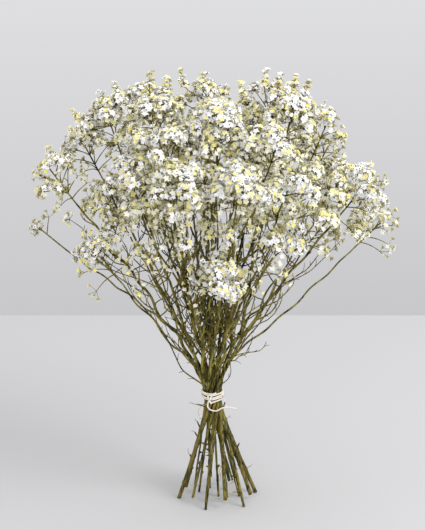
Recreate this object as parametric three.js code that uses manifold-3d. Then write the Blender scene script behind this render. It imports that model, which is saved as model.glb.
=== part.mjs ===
// A hand-tied bunch of dried statice that stands on its own splayed, cut stalks.
// Nineteen stalks are packed in rings at the waist, where a cotton twine holds them. Each stalk leans
// sideways there, all in the same sense, as in a spiral-tied bouquet, so that the feet spread below and the
// heads above. Each stalk carries a flowering spray at its head and another on a side branch. A spray is a
// slim axis with whorls of twigs, and each twig flares into a five-lobed papery floret, larger than life,
// that stands for a small cluster.
// Millimetres, +Z up, with the feet on z = 0 and the origin at the middle of the box's base.
import * as THREE from "three";
import { mergeVertices } from "three/addons/utils/BufferGeometryUtils.js";
import Module from "manifold-3d";

const wasm = await Module();
wasm.setup();

// Driving dimensions, with angles in degrees. A ring's head and side are the polar angles of its sprays.
const tieHeight = 124;
const rings = [
  { count: 1, radius: 0, splay: 0.03, head: 4, side: 76, twist: 0, sideTurn: 0, fork: 232 },
  { count: 6, radius: 4.1, splay: 0.2, head: 30, side: 52, twist: 80, sideTurn: 28, fork: 252 },
  { count: 12, radius: 8.3, splay: 0.36, head: 67, side: 88, twist: 74, sideTurn: 14, fork: 178 },
];
const ringTurn = 14.9; // from the first stalk of a ring to that of the next
const stalk = { foot: 2, tie: 1.8, neck: 1.15, sides: 5, steps: 6, leave: 105, arrive: 80 };
const feet = { shortest: 11, shift: 7 };
const limb = { root: 1.3, neck: 1.1, sides: 3, steps: 5, leave: 0.4, arrive: 0.35, outward: 0.55 };
const crown = { height: 322, across: 142, deep: 128, tall: 160, boxy: 0.8, flat: 0.62, top: 498 };
const spray = { length: 52, root: 1.15, tip: 0.8, seat: 0.3, whorls: 4, node: 1.1, dome: 40, domeDepth: 30 };
const whorl = { highest: 12, lowest: 45, topLean: 60, baseLean: 86, turn: 40 };
const twig = { bend: 0.55, shortest: 18, neck: 10, lift: 0.3 };
const floret = { rim: 8.6, notch: 0.64, lobes: 5, dimple: 3.4 };
const twine = { radius: 1.1, pitch: 2.5, turns: 3.1, sides: 6, stepsPerTurn: 16, clearance: 0.3 };
const knot = { angle: -1.83, rise: 2.6 };
const tail = { radius: 0.95, sides: 8, stepLength: 4 };
const clearGap = 0.7; // between pieces that don't touch
const packGap = 0.3; // between stalks at the waist, and between the twigs of one spray
// How many small changes are tried while a stalk, a side branch or a twig looks for room
const search = { splays: 5, stalkTurns: 13, limbTurns: 17, forks: 7, twigTurns: 18, leans: 3 };

const olive = new THREE.MeshStandardMaterial({ color: 0x6b6429, roughness: 0.75, metalness: 0 });
const papery = new THREE.MeshStandardMaterial({ color: 0xe9e6da, roughness: 0.85, metalness: 0 });
const cotton = new THREE.MeshStandardMaterial({ color: 0xd9cdb6, roughness: 0.95, metalness: 0 });

const up = new THREE.Vector3(0, 0, 1);
const degree = Math.PI / 180;
const fullTurn = 2 * Math.PI;

// A repeatable draw from 0 to 1
let seed = 20417;
function draw() {
  seed = (seed * 1664525 + 1013904223) % 4294967296;
  return seed / 4294967296;
}
const between = (low, high) => low + (high - low) * draw();
const mix = (a, b, t) => a + (b - a) * t;
const twoDigits = (i) => String(i + 1).padStart(2, "0");

// What has grown so far, as straight stretches with a radius, so that new growth keeps clear of it
const grown = [];
function remember(points, radius, node) {
  for (let i = 1; i < points.length; i++) {
    const along = points[i].clone().sub(points[i - 1]);
    grown.push({ start: points[i - 1], along, square: along.lengthSq(), radius, node });
  }
}
// Balls every few millimetres along a line, for testing it. Those near its root may touch their own node.
function ballsAlong(points, radius, rootLength = 0) {
  const balls = [];
  let walked = 0;
  for (let i = 1; i < points.length; i++) {
    const length = points[i].distanceTo(points[i - 1]);
    const count = Math.max(1, Math.ceil(length / 3));
    for (let k = 1; k <= count; k++) {
      const point = points[i - 1].clone().lerp(points[i], k / count);
      balls.push({ point, radius, atRoot: walked + (length * k) / count < rootLength });
    }
    walked += length;
  }
  return balls;
}
function isClear(balls, node, gap) {
  return balls.every(({ point, radius, atRoot }) =>
    grown.every((s) => {
      if (s.node === node && atRoot) return true;
      const offset = point.clone().sub(s.start);
      const share = s.square > 0 ? Math.min(1, Math.max(0, offset.dot(s.along) / s.square)) : 0;
      const apart = offset.addScaledVector(s.along, -share).length() - radius - s.radius;
      return apart >= (s.node === node ? packGap : gap);
    }),
  );
}

// A point on the crown, a rounded box, at a polar angle from straight up and an azimuth, both in radians
function onCrown(polar, azimuth, reach) {
  const rise = Math.cos(polar);
  const spread = Math.sin(polar) ** crown.boxy * reach;
  return new THREE.Vector3(
    crown.across * spread * Math.cos(azimuth),
    crown.deep * spread * Math.sin(azimuth),
    crown.height + crown.tall * reach * Math.sign(rise) * Math.abs(rise) ** crown.flat,
  );
}
function awayFromHeart(point, lift) {
  const outward = new THREE.Vector3(point.x, point.y, point.z - crown.height).normalize();
  return outward.addScaledVector(up, lift).normalize();
}
function curve(from, fromPull, toPull, to, steps) {
  const [leaving, arriving] = [from.clone().add(fromPull), to.clone().sub(toPull)];
  return new THREE.CubicBezierCurve3(from, leaving, arriving, to).getPoints(steps);
}
// Splits a line at a distance from its end
function splitFromEnd(points, distance) {
  const before = points.slice();
  const after = [before.pop()];
  let left = distance;
  let step = before.at(-1).distanceTo(after[0]);
  while (step < left) {
    left -= step;
    after.unshift(before.pop());
    step = before.at(-1).distanceTo(after[0]);
  }
  const cut = after[0].clone().lerp(before.at(-1), left / step);
  return { before: [...before, cut], after: [cut, ...after] };
}

// The tips of the sprays that stand out of the rounded crown, hang low at its front, or make its two humps
const strays = {
  spray_01a: [6, -6, 462],
  spray_06a: [91, -30, 470],
  spray_10a: [-150, 40, 420],
  spray_11a: [-178, -42, 402],
  spray_16a: [172, -46, 392],
  spray_03b: [-119, -6, 462],
  spray_06b: [129, 6, 447],
  spray_10b: [-196, 8, 322],
  spray_11b: [-136, -62, 314],
  spray_12b: [-72, -94, 322],
  spray_13b: [4, -98, 298],
  spray_14b: [70, -88, 318],
  spray_16b: [196, -8, 340],
};
function strayTip(name, nudge) {
  return strays[name] && new THREE.Vector3(0, nudge, nudge).add(new THREE.Vector3(...strays[name]));
}
// The most twigs on the sprays that are nearly bare
const sparse = { spray_10b: 2 };

// Tries a way of growing with small changes until it finds room
function tryToGrow(attempts, grow) {
  for (let attempt = 0; attempt < attempts; attempt++) {
    const found = grow(attempt);
    if (found) return found;
  }
  return null;
}
// 0, 1, -1, 2, -2 and so on
const swing = (attempt) => (attempt % 2 ? 1 : -1) * Math.ceil(attempt / 2);

const stems = [];
const sprays = [];

function addSpray(name, stem, line) {
  remember(line, spray.root, name);
  sprays.push({ name, stem, line, twigs: [] });
}

function growStalk(ring, level, i) {
  const name = "stem_" + twoDigits(stems.length);
  const sprayName = name.replace("stem", "spray") + "a";
  const slot = (i / ring.count) * fullTurn + level * ringTurn * degree;
  const out = new THREE.Vector3(Math.cos(slot), Math.sin(slot), 0);
  const sideways = new THREE.Vector3(-Math.sin(slot), Math.cos(slot), 0);
  const drawnSplay = ring.splay * between(0.9, 1.04);
  const short = (i + level) % 2 ? between(2, feet.shortest) : 0;
  const reach = between(0.96, 1.05);
  const waist = out.clone().multiplyScalar(ring.radius).setZ(tieHeight);
  const grownStem = tryToGrow(search.splays * search.stalkTurns, (attempt) => {
    const splay = drawnSplay + 0.012 * swing(attempt % search.splays);
    const nudge = swing(Math.floor(attempt / search.splays));
    const foot = waist.clone().addScaledVector(sideways, -splay * (tieHeight - short)).setZ(short);
    foot.x += feet.shift * (1 - short / tieHeight);
    const leave = waist.clone().sub(foot).setLength(stalk.leave);
    const azimuth = slot + (ring.twist + 2.5 * nudge) * degree;
    const head = strayTip(sprayName, 4 * nudge) ?? onCrown(ring.head * degree, azimuth, reach);
    const arrive = awayFromHeart(head, 1).multiplyScalar(stalk.arrive);
    const line = [foot, ...curve(waist, leave, arrive, head, stalk.steps)];
    return isClear(ballsAlong(line, stalk.tie), name, packGap) && { name, ring, azimuth, line };
  });
  if (!grownStem) throw new Error("no room for " + name);
  const { before, after } = splitFromEnd(grownStem.line, spray.length);
  remember(before, stalk.tie, name);
  grownStem.axis = before;
  stems.push(grownStem);
  addSpray(sprayName, grownStem, after);
}

function growLimb(stem) {
  const name = stem.name.replace("stem", "spray") + "b";
  const drawnFork = stem.ring.fork * between(0.9, 1.1);
  const reach = between(0.94, 1.1);
  const side = (stem.ring.side + between(-3, 3)) * degree;
  const line = tryToGrow(search.limbTurns * search.forks, (attempt) => {
    const forkHeight = drawnFork + 6 * swing(Math.floor(attempt / search.limbTurns));
    const nudge = swing(attempt % search.limbTurns);
    const above = stem.line.findIndex((p) => p.z > forkHeight);
    const [low, high] = [stem.line[above - 1], stem.line[above]];
    const fork = low.clone().lerp(high, (forkHeight - low.z) / (high.z - low.z));
    const along = high.clone().sub(low).normalize();
    const azimuth = stem.azimuth + (stem.ring.sideTurn + 3 * nudge) * degree;
    const tip = strayTip(name, 2 * nudge) ?? onCrown(side, azimuth, reach);
    const outward = tip.clone().sub(fork).setZ(0).normalize();
    const span = tip.distanceTo(fork);
    const leave = along.clone().addScaledVector(outward, limb.outward).setLength(limb.leave * span);
    const arrive = awayFromHeart(tip, 0.9).multiplyScalar(limb.arrive * span);
    const path = curve(fork, leave, arrive, tip, limb.steps);
    return isClear(ballsAlong(path, limb.root, Infinity), stem.name, clearGap) && path;
  });
  if (!line) throw new Error("no room for the side branch of " + stem.name);
  const { before, after } = splitFromEnd(line, spray.length);
  remember(before, limb.root, stem.name);
  stem.limb = before;
  addSpray(name, stem, after);
}

// Directions square to a line at each of its points, carried along it without twisting
function framesAlong(points, normal, firstTangent) {
  return points.map((p, i) => {
    const before = points[Math.max(0, i - 1)];
    const after = points[Math.min(points.length - 1, i + 1)];
    const tangent = i === 0 && firstTangent ? firstTangent : after.clone().sub(before).normalize();
    normal = normal.clone().addScaledVector(tangent, -normal.dot(tangent)).normalize();
    return { normal, binormal: tangent.clone().cross(normal), tangent };
  });
}
function polar(frame, angle) {
  return frame.normal
    .clone()
    .multiplyScalar(Math.cos(angle))
    .addScaledVector(frame.binormal, Math.sin(angle));
}

// How far below the spray's tip a whorl stands, and the way that one of its three sides faces
const depthOf = (level) => mix(whorl.highest, whorl.lowest, level / (spray.whorls - 1));
const facingOf = (level, side) => (side * fullTurn) / 3 + level * whorl.turn * degree;

// One twig of a spray, from the middle of a side of a whorl to the mouth of its floret
function growTwig(s, level, side) {
  if (s.twigs.length === sparse[s.name]) return;
  const depth = depthOf(level);
  const { after } = splitFromEnd(s.line, depth);
  const frame = s.frame;
  const facing = facingOf(level, side);
  const root = after[0].clone().addScaledVector(polar(frame, facing), spray.root * 0.5);
  const rise = spray.domeDepth - depth;
  const roundness = between(0.82, 1.08);
  const shake = between(-8, 8);
  const drawnLean = mix(whorl.topLean, whorl.baseLean, level / (spray.whorls - 1)) * between(0.85, 1.05);
  const grownTwig = tryToGrow(search.twigTurns, (attempt) => {
    const lean = (drawnLean + 4 * swing(attempt % search.leans)) * degree;
    const turn = facing + (shake + 9 * swing(attempt)) * degree;
    const reach = spray.dome * roundness * (1 - 0.02 * attempt);
    const across = rise * Math.sin(lean);
    const toDome = Math.sqrt(reach * reach - across * across) - rise * Math.cos(lean);
    const length = Math.max(twig.shortest, toDome);
    const first = frame.tangent
      .clone()
      .multiplyScalar(Math.cos(lean))
      .addScaledVector(polar(frame, turn), Math.sin(lean))
      .addScaledVector(up, twig.lift)
      .normalize();
    const bend = root.clone().addScaledVector(first, length - twig.neck);
    const second = first.clone().addScaledVector(up, twig.lift).normalize();
    const mouth = bend.clone().addScaledVector(second, twig.neck);
    const balls = [
      ...ballsAlong([root, bend], twig.bend, 6),
      { point: bend.clone().lerp(mouth, 0.35), radius: floret.rim * 0.35 },
      { point: bend.clone().lerp(mouth, 0.7), radius: floret.rim * 0.7 },
      { point: mouth, radius: floret.rim },
    ];
    if (mouth.z + floret.rim * Math.hypot(second.x, second.y) > crown.top) return null;
    return isClear(balls, s.name, clearGap) && { level, side, root, bend, mouth, facing: second };
  });
  if (!grownTwig) return;
  const { bend, mouth } = grownTwig;
  remember([root, bend], twig.bend, s.name);
  remember([bend.clone().lerp(mouth, 0.5), bend.clone().lerp(mouth, 0.8)], floret.rim * 0.6, s.name);
  remember([mouth, mouth.clone().addScaledVector(grownTwig.facing, 0.01)], floret.rim, s.name);
  s.twigs.push(grownTwig);
}
// The floret at the very tip of a spray
function growTip(s) {
  const tip = s.line[s.line.length - 1];
  const facing = s.frame.tangent;
  s.mouth = tip.clone().addScaledVector(facing, twig.neck);
  remember([tip.clone().lerp(s.mouth, 0.5), tip.clone().lerp(s.mouth, 0.8)], floret.rim * 0.6, s.name);
  remember([s.mouth, s.mouth.clone().addScaledVector(facing, 0.01)], floret.rim, s.name);
}

rings.forEach((ring, level) => {
  for (let i = 0; i < ring.count; i++) growStalk(ring, level, i);
});
stems.forEach(growLimb);
for (const s of sprays) {
  const [from, to] = s.line.slice(-2);
  const tangent = to.clone().sub(from).normalize();
  s.frame = framesAlong([from, to], new THREE.Vector3(1, 0, 0), tangent)[0];
  growTip(s);
}
for (let level = 0; level < spray.whorls; level++)
  for (let side = 0; side < 3; side++) for (const s of sprays) growTwig(s, level, side);

// A closed skin, built up of rings of points that are listed anticlockwise as seen from where they grow to
class Skin {
  points = [];
  faces = [];
  ring(points) {
    const first = this.points.length;
    this.points.push(...points);
    return points.map((_, i) => first + i);
  }
  // A wall between two rings, which may have different counts
  wall(lower, upper) {
    const [n, m] = [lower.length, upper.length];
    let [i, j] = [0, 0];
    while (i < n || (j < m && m > 1)) {
      if (m === 1 || j === m || (i < n && (i + 1) * m <= (j + 1) * n)) {
        this.faces.push(lower[i], lower[(i + 1) % n], upper[j % m]);
        i++;
      } else {
        this.faces.push(lower[i % n], upper[(j + 1) % m], upper[j]);
        j++;
      }
    }
  }
  lid(ring) {
    for (let k = 1; k + 1 < ring.length; k++) this.faces.push(ring[0], ring[k], ring[k + 1]);
  }
  geometry() {
    const geometry = new THREE.BufferGeometry().setFromPoints(this.points);
    geometry.setIndex(this.faces);
    return geometry;
  }
}
function circle(centre, frame, sides, radiusAt, firstAngle = 0) {
  return Array.from({ length: sides }, (_, k) =>
    centre.clone().addScaledVector(polar(frame, firstAngle + (k / sides) * fullTurn), radiusAt(k)),
  );
}
function rod(points, radii, sides, firstTangent) {
  const skin = new Skin();
  const frames = framesAlong(points, new THREE.Vector3(1, 0, 0), firstTangent);
  const loops = points.map((p, i) => skin.ring(circle(p, frames[i], sides, () => radii[i])));
  skin.lid([...loops[0]].reverse());
  for (let i = 1; i < loops.length; i++) skin.wall(loops[i - 1], loops[i]);
  skin.lid(loops[loops.length - 1]);
  return skin.geometry();
}
// Opens a ring into a floret with five lobes and a hollow middle
function flare(skin, below, mouth, frame, firstAngle = 0) {
  const radiusAt = (k) => (k % 2 ? floret.rim * floret.notch : floret.rim);
  const rim = skin.ring(circle(mouth, frame, 2 * floret.lobes, radiusAt, firstAngle));
  skin.wall(below, rim);
  skin.wall(rim, skin.ring([mouth.clone().addScaledVector(frame.tangent, -floret.dimple)]));
}

// A spray is one skin. Its axis is three-sided, and at each whorl a twig grows out of each side.
function sprayGeometry(s) {
  const skin = new Skin();
  const [base, tip] = [s.line[0], s.line[s.line.length - 1]];
  const start = base.clone().addScaledVector(s.line[1].clone().sub(base).normalize(), spray.seat);
  let turn = Math.PI;
  let below = skin.ring(circle(start, s.frame, 3, () => spray.root, turn));
  skin.lid([...below].reverse());
  for (let level = spray.whorls - 1; level >= 0; level--) {
    const depth = depthOf(level);
    const middle = splitFromEnd(s.line, depth).after[0];
    const radius = mix(spray.tip, spray.root, depth / spray.length);
    const ends = [-1, 1].map((sign) => {
      const centre = middle.clone().addScaledVector(s.frame.tangent, sign * spray.node);
      return skin.ring(circle(centre, s.frame, 3, () => radius, turn));
    });
    skin.wall(below, ends[0]);
    for (let k = 0; k < 3; k++) {
      const next = (k + 1) % 3;
      const window = [ends[0][k], ends[0][next], ends[1][next], ends[1][k]];
      const facing = turn + ((k + 0.5) * fullTurn) / 3;
      const isHere = (t) => t.level === level && Math.cos(facingOf(level, t.side) - facing) > 0.9;
      const growth = s.twigs.find(isHere);
      if (growth) growFromWindow(skin, window, growth);
      else skin.faces.push(window[0], window[1], window[2], window[0], window[2], window[3]);
    }
    below = ends[1];
    if (level > 0) turn -= whorl.turn * degree;
  }
  const end = skin.ring(circle(tip, s.frame, 3, () => spray.tip, turn));
  skin.wall(below, end);
  flare(skin, end, s.mouth, s.frame, turn);
  return skin.geometry();
}
function growFromWindow(skin, window, growth) {
  const { root, bend, mouth, facing } = growth;
  const towardsFirst = skin.points[window[0]].clone().sub(root);
  const [, atBend] = framesAlong([root, bend, mouth], towardsFirst);
  const [atMouth] = framesAlong([mouth, mouth], atBend.normal, facing);
  const neck = skin.ring(circle(bend, atBend, 3, () => twig.bend));
  skin.wall(window, neck);
  flare(skin, neck, mouth, atMouth);
}

function solid(geometry) {
  const bare = geometry.clone();
  bare.deleteAttribute("normal");
  bare.deleteAttribute("uv");
  const merged = mergeVertices(bare, 1e-4);
  return new wasm.Manifold(
    new wasm.Mesh({
      numProp: 3,
      vertProperties: new Float32Array(merged.attributes.position.array),
      triVerts: new Uint32Array(merged.index.array),
    }),
  );
}
function geometryOf(body) {
  const made = body.getMesh();
  const geometry = new THREE.BufferGeometry();
  geometry.setAttribute("position", new THREE.BufferAttribute(made.vertProperties, made.numProp));
  geometry.setIndex(new THREE.BufferAttribute(made.triVerts, 1));
  return geometry;
}

function stemGeometry(stem) {
  const aboveTie = stem.axis.length - 2;
  const radii = stem.axis.map((_, i) => mix(stalk.tie, stalk.neck, (i - 1) / aboveTie));
  radii[0] = stalk.foot;
  const limbRadii = stem.limb.map((_, i) => mix(limb.root, limb.neck, i / (stem.limb.length - 1)));
  const axis = solid(rod(stem.axis, radii, stalk.sides, up));
  return geometryOf(axis.add(solid(rod(stem.limb, limbRadii, limb.sides))));
}

// The twine: three turns round the waist, and a knot of two strands crossed over them
function section(radius, sides) {
  const corners = Array.from({ length: sides }, (_, k) => {
    const angle = (k / sides) * fullTurn;
    return new THREE.Vector2(radius * Math.cos(angle), radius * Math.sin(angle));
  });
  return new THREE.Shape(corners);
}
function cord(path, radius, sides, steps) {
  const settings = { steps, bevelEnabled: false, extrudePath: path };
  return new THREE.ExtrudeGeometry(section(radius, sides), settings);
}
const outerRing = rings.at(-1);
const wrapHeight = twine.turns * twine.pitch;
const outermost = Math.hypot(outerRing.radius, outerRing.splay * (wrapHeight / 2 + twine.radius));
const bundleRadius = outermost + stalk.tie * 1.03;
const wrapRadius = (bundleRadius + twine.clearance + twine.radius) / Math.cos(Math.PI / twine.stepsPerTurn);
function roundWaist(angle, radius, height) {
  return new THREE.Vector3(radius * Math.cos(angle), radius * Math.sin(angle), tieHeight + height);
}
class Helix extends THREE.Curve {
  getPoint(t) {
    const angle = knot.angle + t * twine.turns * fullTurn;
    return roundWaist(angle, wrapRadius, (t - 0.5) * wrapHeight);
  }
}
function knotStrand(sign) {
  const reach = wrapHeight / 2 + 0.6;
  const points = [-1, -0.55, 0, 0.55, 1].map((h) => {
    const proud = knot.rise * Math.sqrt(1 - Math.abs(h) ** 3) + (sign > 0 && h === 0 ? 0.9 : 0);
    return roundWaist(knot.angle + sign * h * 0.16, wrapRadius + proud, h * reach);
  });
  return cord(new THREE.CatmullRomCurve3(points), twine.radius, twine.sides, 8);
}
function twineGeometry() {
  const steps = Math.round(twine.turns * twine.stepsPerTurn);
  const wrap = solid(cord(new Helix(), twine.radius, twine.sides, steps));
  return geometryOf(wrap.add(solid(knotStrand(1))).add(solid(knotStrand(-1))));
}
// The twine's loose end leaves the knot below and passes to the right, in front of the stalks
const tailRoute = [
  [-5.1, -13.3, 119.2],
  [-5.7, -15, 117.3],
  [-5.2, -16.6, 115.5],
  [-3.6, -18, 114],
  [-1.3, -19, 113],
  [1.4, -19.7, 112.5],
  [4.2, -20.1, 112.6],
  [6.8, -20.3, 113.6],
  [9.2, -20.4, 115.2],
  [11.8, -20.4, 116.5],
  [14.5, -20.3, 117.2],
  [17.2, -20.2, 117.4],
  [19.9, -20.1, 117.1],
  [22.5, -20, 116.5],
  [25, -19.8, 115.8],
  [27.4, -19.5, 115.1],
].map((p) => new THREE.Vector3(...p));
function tailGeometry() {
  const path = new THREE.CatmullRomCurve3(tailRoute);
  return cord(path, tail.radius, tail.sides, Math.round(path.getLength() / tail.stepLength));
}

const bunch = new THREE.Group();
function addPiece(name, geometry, material) {
  geometry.computeVertexNormals();
  const mesh = new THREE.Mesh(geometry, material);
  mesh.name = name;
  bunch.add(mesh);
}
for (const stem of stems) addPiece(stem.name, stemGeometry(stem), olive);
for (const s of sprays) addPiece(s.name, sprayGeometry(s), papery);
addPiece("twine", twineGeometry(), cotton);
addPiece("twine_end", tailGeometry(), cotton);

const box = new THREE.Box3().setFromObject(bunch);
const middle = box.getCenter(new THREE.Vector3());
bunch.position.set(-middle.x, -middle.y, -box.min.z);

export default bunch;
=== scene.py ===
# Dresses a tied bunch of dried statice that stands on its cut stalks: ribbed olive stalks and forked twigs,
# papery calyces, lemon corollas, and a tie of twisted cotton twine. Metres, +Z up.
# Lines are worked out from the solid model in millimetres and become metres when a mesh is made.
import math
from functools import cache

import bmesh
import bpy
import numpy as np
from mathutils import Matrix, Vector


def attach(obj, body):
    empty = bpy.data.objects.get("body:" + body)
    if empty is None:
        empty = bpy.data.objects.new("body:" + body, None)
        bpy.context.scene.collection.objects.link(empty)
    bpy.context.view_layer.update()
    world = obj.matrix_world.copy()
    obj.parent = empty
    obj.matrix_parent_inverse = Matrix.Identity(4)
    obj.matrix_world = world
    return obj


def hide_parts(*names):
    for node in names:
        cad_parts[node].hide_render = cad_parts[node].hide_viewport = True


bl_info = {
    "name": "Dried statice bunch",
    "version": (1, 0, 0),
    "blender": (4, 5, 0),
    "location": "3D View > Sidebar > Statice",
    "description": "Finishes a solid model of a dried statice bunch with stalks, twigs, florets and twine",
    "category": "Add Mesh",
}

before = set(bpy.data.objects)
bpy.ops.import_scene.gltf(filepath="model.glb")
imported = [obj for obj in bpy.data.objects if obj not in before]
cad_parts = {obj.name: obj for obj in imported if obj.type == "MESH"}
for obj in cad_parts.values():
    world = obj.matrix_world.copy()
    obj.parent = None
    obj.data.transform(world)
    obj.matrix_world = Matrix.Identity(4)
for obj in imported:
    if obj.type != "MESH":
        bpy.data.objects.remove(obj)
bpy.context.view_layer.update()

MM = 0.001
SEED = 20417
FULL_TURN = 2 * math.pi
# Turned by this from one to the next, shoots spread evenly round a twig
GOLDEN_ANGLE = 2.4
UP = np.array([0.0, 0.0, 1.0])
LEVEL = np.array([1, 1, 0])
STEMS = range(1, 1 + sum(name.startswith("stem_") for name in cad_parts))
LOBES = 5
# A stalk's rod has this many sides, and every other one stands proud as a rib
STALK_SIDES = 10
RIB_HEIGHT = 0.09
LINE_SPACING = 4
# A rod of this age is bare straw all over
STRAW_AGE = -1.0
# The tie: its height, the radius of the twine's path, its turns and how much it climbs in each
TIE_HEIGHT = 124
TWINE_WRAP_RADIUS = 12.0
TWINE_TURNS = 4.1
TWINE_CLIMB = 2.5
# Where the knot lies round the tie, in radians, and the length in which the twine's plies go once round
KNOT_TURN = -1.83
TWINE_LAY = 4.5
TWINE_SPACING = 0.8
# Heights on the tie's axis: florets face away from the first, and their depth is measured from the second
FACING_HEIGHT = 290
DEPTH_HEIGHT = 280
WITHERED_SHARE = 0.25
# How strong a calyx's creamy tint, partly painted shade deep in the crown, can get, and the depth at which it
# does
MOST_CREAM_AND_SHADE = 0.65
CREAM_SHADE_DEPTH = 40
# The height at which flowering sprigs begin, and how far apart they are on a stalk
CROWN_FOOT = 308
SPRIG_SPACING = 21
# How much higher a point shows for each millimetre of depth, as the photo looks down a little
DEPTH_LIFT = 0.28
# The crown's underside as the photo shows it: across from the tie's axis, and the height up to which few
# florets grow
UNDERSIDE_ACROSS = [-124, -122, -95, -72, -44, -42, -27, -20, 37, 40, 58, 62, 98, 102, 146, 150, 186]
UNDERSIDE_HEIGHT = [284, 300, 306, 315, 320, 298, 290, 243, 243, 315, 315, 279, 279, 320, 320, 310, 305]
# Gaps between its sprays, in the same view: across, height and radius
CLEARINGS = [
    (-130, 400, 26), (-203, 390, 22), (-186, 342, 20), (-158, 350, 14), (190, 382, 22), (200, 320, 26),
    (-65, 435, 14), (-41, 438, 10), (81, 423, 12), (92, 388, 13), (14, 340, 14), (-96, 348, 10),
    (-65, 304, 16), (31, 310, 12), (70, 286, 9), (103, 338, 14), (-26, 283, 11), (125, 417, 22),
    (-147, 372, 13), (-170, 383, 10), (176, 368, 9),
]


def linear(hex_colour):
    """An sRGB hex colour as linear red, green and blue, and alpha."""
    channels = [int(hex_colour[i : i + 2], 16) / 255 for i in (1, 3, 5)]
    return [*(c / 12.92 if c <= 0.04045 else ((c + 0.055) / 1.055) ** 2.4 for c in channels), 1.0]


def colour(name, description, hex_colour):
    """A colour that the user can change."""
    return bpy.props.FloatVectorProperty(
        name=name, description=description, default=linear(hex_colour), size=4, subtype="COLOR", min=0, max=1
    )


def length(name, description, millimetres):
    """A length that the user can change."""
    return bpy.props.FloatProperty(
        name=name, description=description, default=millimetres * MM, min=0, unit="LENGTH", subtype="DISTANCE"
    )


def count(name, description, default):
    """A whole number that the user can change."""
    return bpy.props.IntProperty(name=name, description=description, default=default, min=0)


def share(name, description, default):
    """A share from 0 to 1 that the user can change."""
    return bpy.props.FloatProperty(
        name=name, description=description, default=default, min=0, max=1, subtype="FACTOR"
    )


class StaticeSizes(bpy.types.PropertyGroup):
    """Sizes of the stalks, florets and twine"""

    calyx_radius: length("Calyx radius", "From a calyx's axis to the tip of a lobe", 3.8)
    calyx_height: length("Calyx height", "From a calyx's foot to its rim", 4.0)
    corolla_radius: length("Corolla radius", "From an open corolla's middle to the tip of a petal", 2.9)
    cluster_reach: length("Cluster reach", "From the neck of a cluster to the feet of its florets", 5.6)
    cluster_florets: count("Florets in a cluster", "How many florets a full cluster has", 18)
    small_cluster_florets: count("Florets in a small cluster", "How many florets a side cluster has", 10)
    open_share: share("Open florets", "Share of the florets with an open lemon corolla", 0.33)
    foot_radius: length("Foot radius", "Radius of a stalk at its cut foot", 1.95)
    waist_radius: length("Waist radius", "Radius of a stalk at the tie", 1.7)
    neck_radius: length("Neck radius", "Radius of a stalk where its spray begins", 0.9)
    twig_radius: length("Twig radius", "Radius of a spray's twigs", 0.5)
    pedicel_radius: length("Pedicel radius", "Radius of the thin stalk that carries a floret", 0.25)
    strand_radius: length("Strand radius", "Radius of the twisted twine", 1.05)


class StaticeColours(bpy.types.PropertyGroup):
    """Colours of the stalks, florets, twine and floor"""

    stalk: colour("Stalk", "Olive of a dried stalk", "#191804")
    stalk_light: colour("Stalk ribs", "Paler olive of its ribs", "#968c40")
    stalk_brown: colour("Stalk brown", "Brown of dead patches, nodes and bracts", "#5a4022")
    pith: colour("Pith", "Straw of the pith at a cut end", "#b7a878")
    calyx: colour("Calyx", "Papery white of a calyx that has bleached", "#e4e4e6")
    # the creamy tint is painted shade on calyces deep in the crown, and a random tone of their own on some
    # others
    calyx_cream_and_shade: colour("Cream calyx", "Cream of a calyx inside the crown, less bleached", "#f4f1cb")
    calyx_foot: colour("Calyx foot", "Olive of a calyx's tube", "#a69d3c")
    corolla: colour("Corolla", "Pale lemon of an open corolla", "#e9de88")
    corolla_gold: colour("Corolla gold", "Golden tone of an older corolla", "#d9bf62")
    centre: colour("Dried centre", "Brown of a withered corolla", "#54431c")
    twine: colour("Twine", "Cream of cotton twine", "#f4ece1")
    floor: colour("Floor", "Pale grey of the floor", "#b5b5b7")


def unit(vectors):
    """Vectors along the last axis, each made one long."""
    vectors = np.asarray(vectors, float)
    return vectors / np.maximum(np.linalg.norm(vectors, axis=-1, keepdims=True), 1e-9)


def square_to(directions):
    """Two directions square to a direction, or to each of some, and to each other."""
    helper = np.where(np.abs(directions[..., :1]) < 0.8, [1.0, 0.0, 0.0], [0.0, 1.0, 0.0])
    first = unit(helper - (helper * directions).sum(axis=-1, keepdims=True) * directions)
    return first, np.cross(directions, first)


def leaning(facing, lean, azimuth):
    """The direction at an angle from a facing, at an azimuth round it, both in radians."""
    first, second = square_to(facing)
    across = math.cos(azimuth) * first + math.sin(azimuth) * second
    return math.cos(lean) * facing + math.sin(lean) * across


def resampled(line, spacing):
    """A line with points spaced evenly along it."""
    line = np.asarray(line, float)
    walked = np.concatenate([[0], np.cumsum(np.linalg.norm(np.diff(line, axis=0), axis=1))])
    steps = max(2, round(walked[-1] / spacing))
    at = np.linspace(0, walked[-1], steps + 1)
    return np.stack([np.interp(at, walked, line[:, k]) for k in range(3)], axis=1)


def smoothed(line, rounds):
    """A line whose inner points are drawn towards their neighbours' middle some times over."""
    line = line.copy()
    for _ in range(rounds):
        line[1:-1] = (line[:-2] + 2 * line[1:-1] + line[2:]) / 4
    return line


def arched(start, end, leave, steps):
    """A line from one point to another that leaves the first in a direction."""
    pull = start + unit(leave) * 0.45 * np.linalg.norm(end - start)
    t = np.linspace(0, 1, steps + 1)[:, None]
    return (1 - t) ** 2 * start + 2 * t * (1 - t) * pull + t**2 * end


def nearest(line, point):
    """The point of a line that is closest to another."""
    return line[np.linalg.norm(line - point, axis=1).argmin()]


def merged(node):
    """A node's mesh with its doubles merged, for reading."""
    bm = bmesh.new()
    bm.from_mesh(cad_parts[node].data)
    bmesh.ops.remove_doubles(bm, verts=bm.verts, dist=0.001 * MM)
    return bm


def middle(verts):
    """The middle of some vertices, in millimetres."""
    return np.mean([v.co for v in verts], axis=0) / MM


def beside(verts):
    """The vertices one edge away from some others."""
    return {e.other_vert(v) for v in verts for e in v.link_edges} - set(verts)


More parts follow.
